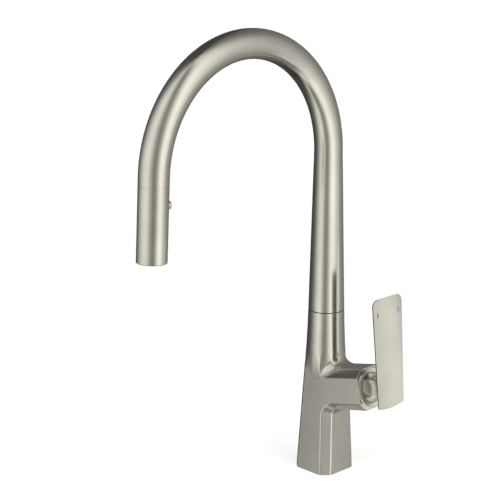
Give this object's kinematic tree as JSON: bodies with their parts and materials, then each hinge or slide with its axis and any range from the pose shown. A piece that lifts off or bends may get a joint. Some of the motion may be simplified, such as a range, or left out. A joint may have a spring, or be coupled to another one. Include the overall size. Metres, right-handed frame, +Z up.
{
  "type": "pull down kitchen faucet",
  "caption": "High-arch kitchen faucet with a pull-down spray head, tapering square-footed body and a tilted side lever.",
  "frame": {"origin": "centre of the body's underside, on the worktop", "axes": "+Z up along the column, the spout reaches over -Y, the lever is on +X"},
  "size_m": [0.1119, 0.2658, 0.4547],
  "materials": {
    "brushed_nickel": "warm satin nickel, fine brushing",
    "turned_nickel": "satin nickel with fine turned rings",
    "bright_nickel": "polished nickel",
    "brass": "machined brass",
    "steel": "plain stainless steel",
    "magnet": "dark ferrite magnet",
    "black_plastic": "matt black moulded plastic",
    "white_plastic": "natural white acetal",
    "ceramic": "lapped white ceramic",
    "rubber": "black rubber",
    "silicone": "grey silicone",
    "hose_braid": "woven grey nylon braid",
    "red_enamel": "red enamel",
    "blue_enamel": "blue enamel"
  },
  "bodies": {
    "base": {"body_shell": "brushed_nickel", "base_gasket": "rubber", "hose_guide": "black_plastic", "spout_lock_screw": "steel", "cartridge_housing": "white_plastic", "cartridge_base": "white_plastic", "cartridge_seals": "rubber", "fixed_disc": "ceramic", "cartridge_nut": "brass", "trim_ring": "turned_nickel", "trim_ring_seal": "rubber"},
    "mixer": {"cartridge_spindle": "brass", "stem_pin": "steel"},
    "valve_disc": {"disc_carrier": "white_plastic", "moving_disc": "ceramic"},
    "lever": {"control_stem": "steel", "lever_handle": "brushed_nickel", "handle_screw": "steel", "screw_cap": "black_plastic", "hot_mark": "red_enamel", "cold_mark": "blue_enamel"},
    "spout": {"spout_tube": "brushed_nickel", "thrust_washer": "black_plastic", "spout_shank": "brass", "lower_glide_ring": "white_plastic", "upper_glide_ring": "white_plastic", "dock_collar": "black_plastic", "dock_magnet": "magnet", "hose_run": "hose_braid"},
    "hose_end": {"hose_pull": "hose_braid", "hose_ferrule": "steel", "hose_nipple": "brass"},
    "spray_head": {"swivel_nut": "brass", "inlet_washer": "rubber", "check_valve": "white_plastic", "head_keeper": "steel", "spray_shell": "brushed_nickel", "spray_core": "white_plastic", "spray_face": "black_plastic", "spray_nozzles": "silicone", "aerator_insert": "white_plastic", "aerator_screen": "steel", "button_spring": "steel"},
    "button": {"spray_button": "bright_nickel", "diverter_spool": "black_plastic", "spool_seals": "rubber"}
  },
  "joints": [
    {"name": "spout_swivel", "type": "hinge", "parent": "base", "child": "spout", "pos_m": [0, 0, 0.168], "axis": [0, 0, 1], "continuous": true},
    {"name": "pull_down", "type": "slide", "parent": "spout", "child": "hose_end", "axis": [0, -0.0548, -0.9985], "range_m": [0, 0.4], "deforming": ["hose_pull"]},
    {"name": "head_swivel", "type": "hinge", "parent": "hose_end", "child": "spray_head", "pos_m": [0, -0.22373, 0.33493], "axis": [0, -0.0548, -0.9985], "continuous": true},
    {"name": "button_press", "type": "slide", "parent": "spray_head", "child": "button", "axis": [0, -0.9985, 0.0548], "range_m": [0, 0.0018], "stiffness_N_per_m": 500, "springref_m": -0.002, "deforming": ["button_spring"]},
    {"name": "temperature_turn", "type": "hinge", "parent": "base", "child": "mixer", "pos_m": [0.06205, 0, 0.10057], "axis": [0.9749, 0, 0.2226], "range_deg": [-45, 45]},
    {"name": "flow_lift", "type": "hinge", "parent": "mixer", "child": "lever", "pos_m": [0.06205, 0, 0.10057], "axis": [0, 1, 0], "range_deg": [0, 22]},
    {"name": "disc_slide", "type": "slide", "parent": "mixer", "child": "valve_disc", "axis": [-0.2226, 0, 0.9749], "range_m": [0, 0.0072]}
  ],
  "couplings": [
    {"joint": "disc_slide", "follows": "flow_lift", "m_per_rad": 0.018537}
  ]
}
